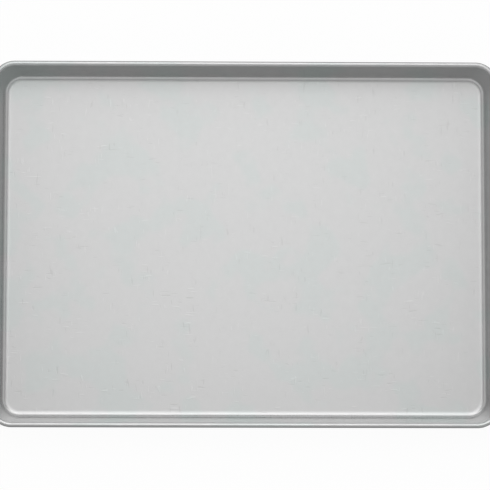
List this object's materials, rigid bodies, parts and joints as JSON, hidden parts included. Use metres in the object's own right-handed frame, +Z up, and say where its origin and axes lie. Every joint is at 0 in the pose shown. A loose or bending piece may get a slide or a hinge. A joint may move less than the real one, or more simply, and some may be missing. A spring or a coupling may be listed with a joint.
{
  "type": "cookie sheet",
  "caption": "Rimmed rectangular cookie sheet with leaning walls, rounded corners and a curled, wire-stiffened rim, for baking on an oven rack.",
  "frame": {"origin": "middle of the underside, on the surface that the sheet rests on", "axes": "+X along the length, +Y across the width, +Z up out of the tray"},
  "size_m": [0.4572, 0.3302, 0.0254],
  "materials": {
    "pan_sheet": "aluminised steel sheet, satin, with a fine woven texture rolled into the floor",
    "rim_wire": "zinc plated, dull"
  },
  "bodies": {
    "root": {"pan_body": "pan_sheet", "rim_wire": "rim_wire"}
  },
  "joints": []
}
